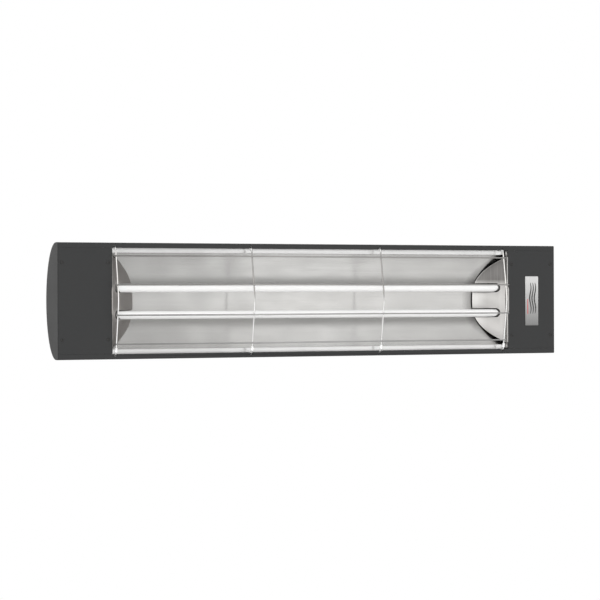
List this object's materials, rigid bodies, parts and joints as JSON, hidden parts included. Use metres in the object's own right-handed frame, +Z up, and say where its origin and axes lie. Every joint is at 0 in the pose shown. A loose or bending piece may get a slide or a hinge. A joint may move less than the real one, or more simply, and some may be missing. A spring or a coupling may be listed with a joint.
{
  "type": "infrared strip heater",
  "caption": "Long black D-section infrared strip heater with a bright trough reflector, milky quartz tubes behind a bowed wire guard, and tilting wall brackets.",
  "frame": {"origin": "centre of the overall box of the heater on its brackets at rest, facing straight out from the wall", "axes": "+X along the heater towards the nameplate end, -Y out of the opening towards the room, +Y towards the wall, +Z up"},
  "size_m": [0.9906, 0.1732, 0.2032],
  "materials": {
    "black_coat": "fine satin black powder coat on aluminium and steel sheet",
    "black_screw": "black oxide screw",
    "brushed_aluminium": "vertically brushed plate, clear lacquer",
    "polished_aluminium": "rolled reflector sheet, soft sheen with faint lengthwise streaks",
    "bright_wire": "bright drawn stainless wire",
    "zinc_steel": "zinc-plated fastener",
    "plated_sheet": "zinc-plated steel sheet with faint spangle",
    "milky_quartz": "milk-white fused quartz, smooth",
    "resistance_wire": "oxidised iron-chromium coil",
    "white_ceramic": "unglazed steatite",
    "lead_sleeve": "braided glass-fibre sleeve",
    "earth_sleeve": "braided green sleeve",
    "black_plastic": "moulded black nylon",
    "black_rubber": "rubber cable jacket"
  },
  "bodies": {
    "wall_mount": {"wall_bracket_left": "black_coat", "pivot_bolt_left": "zinc_steel", "pivot_nut_left": "zinc_steel", "wall_bracket_right": "black_coat", "pivot_bolt_right": "zinc_steel", "pivot_nut_right": "zinc_steel"},
    "heater": {"hanger_bracket_left": "black_coat", "hanger_screw_left_upper": "zinc_steel", "hanger_screw_left_lower": "zinc_steel", "hanger_bracket_right": "black_coat", "hanger_screw_right_upper": "zinc_steel", "hanger_screw_right_lower": "zinc_steel", "housing_shell": "black_coat", "end_cap_left": "black_coat", "cover_plate_left": "black_coat", "cover_screw_left_upper_inner": "black_screw", "cover_screw_left_upper_outer": "black_screw", "cover_screw_left_lower_inner": "black_screw", "cover_screw_left_lower_outer": "black_screw", "end_cap_right": "black_coat", "cover_plate_right": "black_coat", "cover_screw_right_upper_inner": "black_screw", "cover_screw_right_upper_outer": "black_screw", "cover_screw_right_lower_inner": "black_screw", "cover_screw_right_lower_outer": "black_screw", "nameplate": "brushed_aluminium", "reflector_trough": "polished_aluminium", "quartz_tube_upper": "milky_quartz", "heating_coil_upper": "resistance_wire", "quartz_tube_lower": "milky_quartz", "heating_coil_lower": "resistance_wire", "reflector_end_left": "polished_aluminium", "bulkhead_left": "plated_sheet", "ceramic_cap_left_upper": "white_ceramic", "terminal_stud_left_upper": "zinc_steel", "ceramic_cap_left_lower": "white_ceramic", "terminal_stud_left_lower": "zinc_steel", "reflector_end_right": "polished_aluminium", "bulkhead_right": "plated_sheet", "ceramic_cap_right_upper": "white_ceramic", "terminal_stud_right_upper": "zinc_steel", "ceramic_cap_right_lower": "white_ceramic", "terminal_stud_right_lower": "zinc_steel", "terminal_block": "white_ceramic", "lead_live": "lead_sleeve", "lead_link_left": "lead_sleeve", "lead_link_right": "lead_sleeve", "lead_return": "lead_sleeve", "lead_earth": "earth_sleeve", "earth_screw": "zinc_steel", "cable_gland": "black_plastic", "gland_locknut": "black_plastic", "supply_cable": "black_rubber"},
    "guard": {"wire_guard": "bright_wire", "guard_clip_1": "bright_wire", "guard_clip_2": "bright_wire", "guard_clip_3": "bright_wire", "guard_clip_4": "bright_wire"}
  },
  "joints": [
    {"name": "heater_tilt", "type": "hinge", "parent": "wall_mount", "child": "heater", "pos_m": [0, 0.02665, 0], "axis": [1, 0, 0], "range_deg": [-45, 45]},
    {"name": "guard_swing", "type": "hinge", "parent": "heater", "child": "guard", "pos_m": [0, -0.06795, 0.0905], "axis": [-1, 0, 0], "range_deg": [0, 95]}
  ]
}
